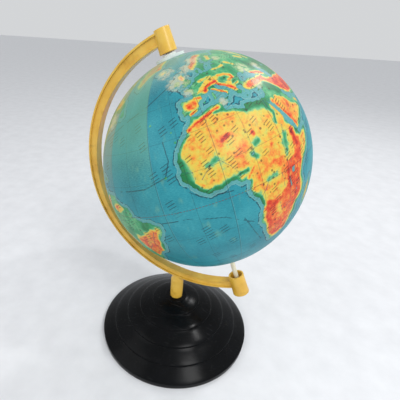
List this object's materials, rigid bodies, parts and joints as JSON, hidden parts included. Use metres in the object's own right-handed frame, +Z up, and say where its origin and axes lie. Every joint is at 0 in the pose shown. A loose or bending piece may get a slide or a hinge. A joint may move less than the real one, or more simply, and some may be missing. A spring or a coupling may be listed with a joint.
{
  "type": "desktop globe",
  "caption": "Desktop globe: a spinning relief-tinted ball on a tilted axle, held by a half-round yellow arm on a stepped round black base.",
  "frame": {"origin": "centre of the base's resting face, on the table", "axes": "+Z up; the arm lies in the XZ plane with its curve towards -X, and the spin axis leans towards -X at the top"},
  "size_m": [0.1734, 0.158, 0.2745],
  "materials": {
    "base_black": "gloss",
    "weight_steel": "rough",
    "cover_felt": "matte",
    "arm_yellow": "satin",
    "axle_white": "satin",
    "bush_pale": "satin",
    "washer_nylon": "satin",
    "screw_steel": "bright",
    "shell_board": "matte",
    "hoop_board": "matte",
    "bush_white": "satin",
    "cap_white": "satin",
    "map_paper": "varnished"
  },
  "bodies": {
    "base": {"base_shell": "base_black", "base_weight": "weight_steel", "base_cover": "cover_felt"},
    "arm": {"meridian_arm": "arm_yellow", "axle": "axle_white", "upper_axle_bush": "bush_pale", "slip_washer": "washer_nylon", "arm_screw": "screw_steel", "arm_washer": "screw_steel"},
    "ball": {"hemisphere_north": "shell_board", "hemisphere_south": "shell_board", "joining_hoop": "hoop_board", "bush_north": "bush_white", "bush_south": "bush_white", "pole_cap_north": "cap_white", "pole_cap_south": "cap_white", "map_gore_01": "map_paper", "map_gore_02": "map_paper", "map_gore_03": "map_paper", "map_gore_04": "map_paper", "map_gore_05": "map_paper", "map_gore_06": "map_paper", "map_gore_07": "map_paper", "map_gore_08": "map_paper", "map_gore_09": "map_paper", "map_gore_10": "map_paper", "map_gore_11": "map_paper", "map_gore_12": "map_paper"}
  },
  "joints": [
    {"name": "arm_swivel", "type": "hinge", "parent": "base", "child": "arm", "pos_m": [0, 0, 0.047], "axis": [0, 0, 1], "continuous": true},
    {"name": "ball_spin", "type": "hinge", "parent": "arm", "child": "ball", "pos_m": [0.0142, 0, 0.18817], "axis": [-0.3987, 0, 0.9171], "continuous": true}
  ]
}
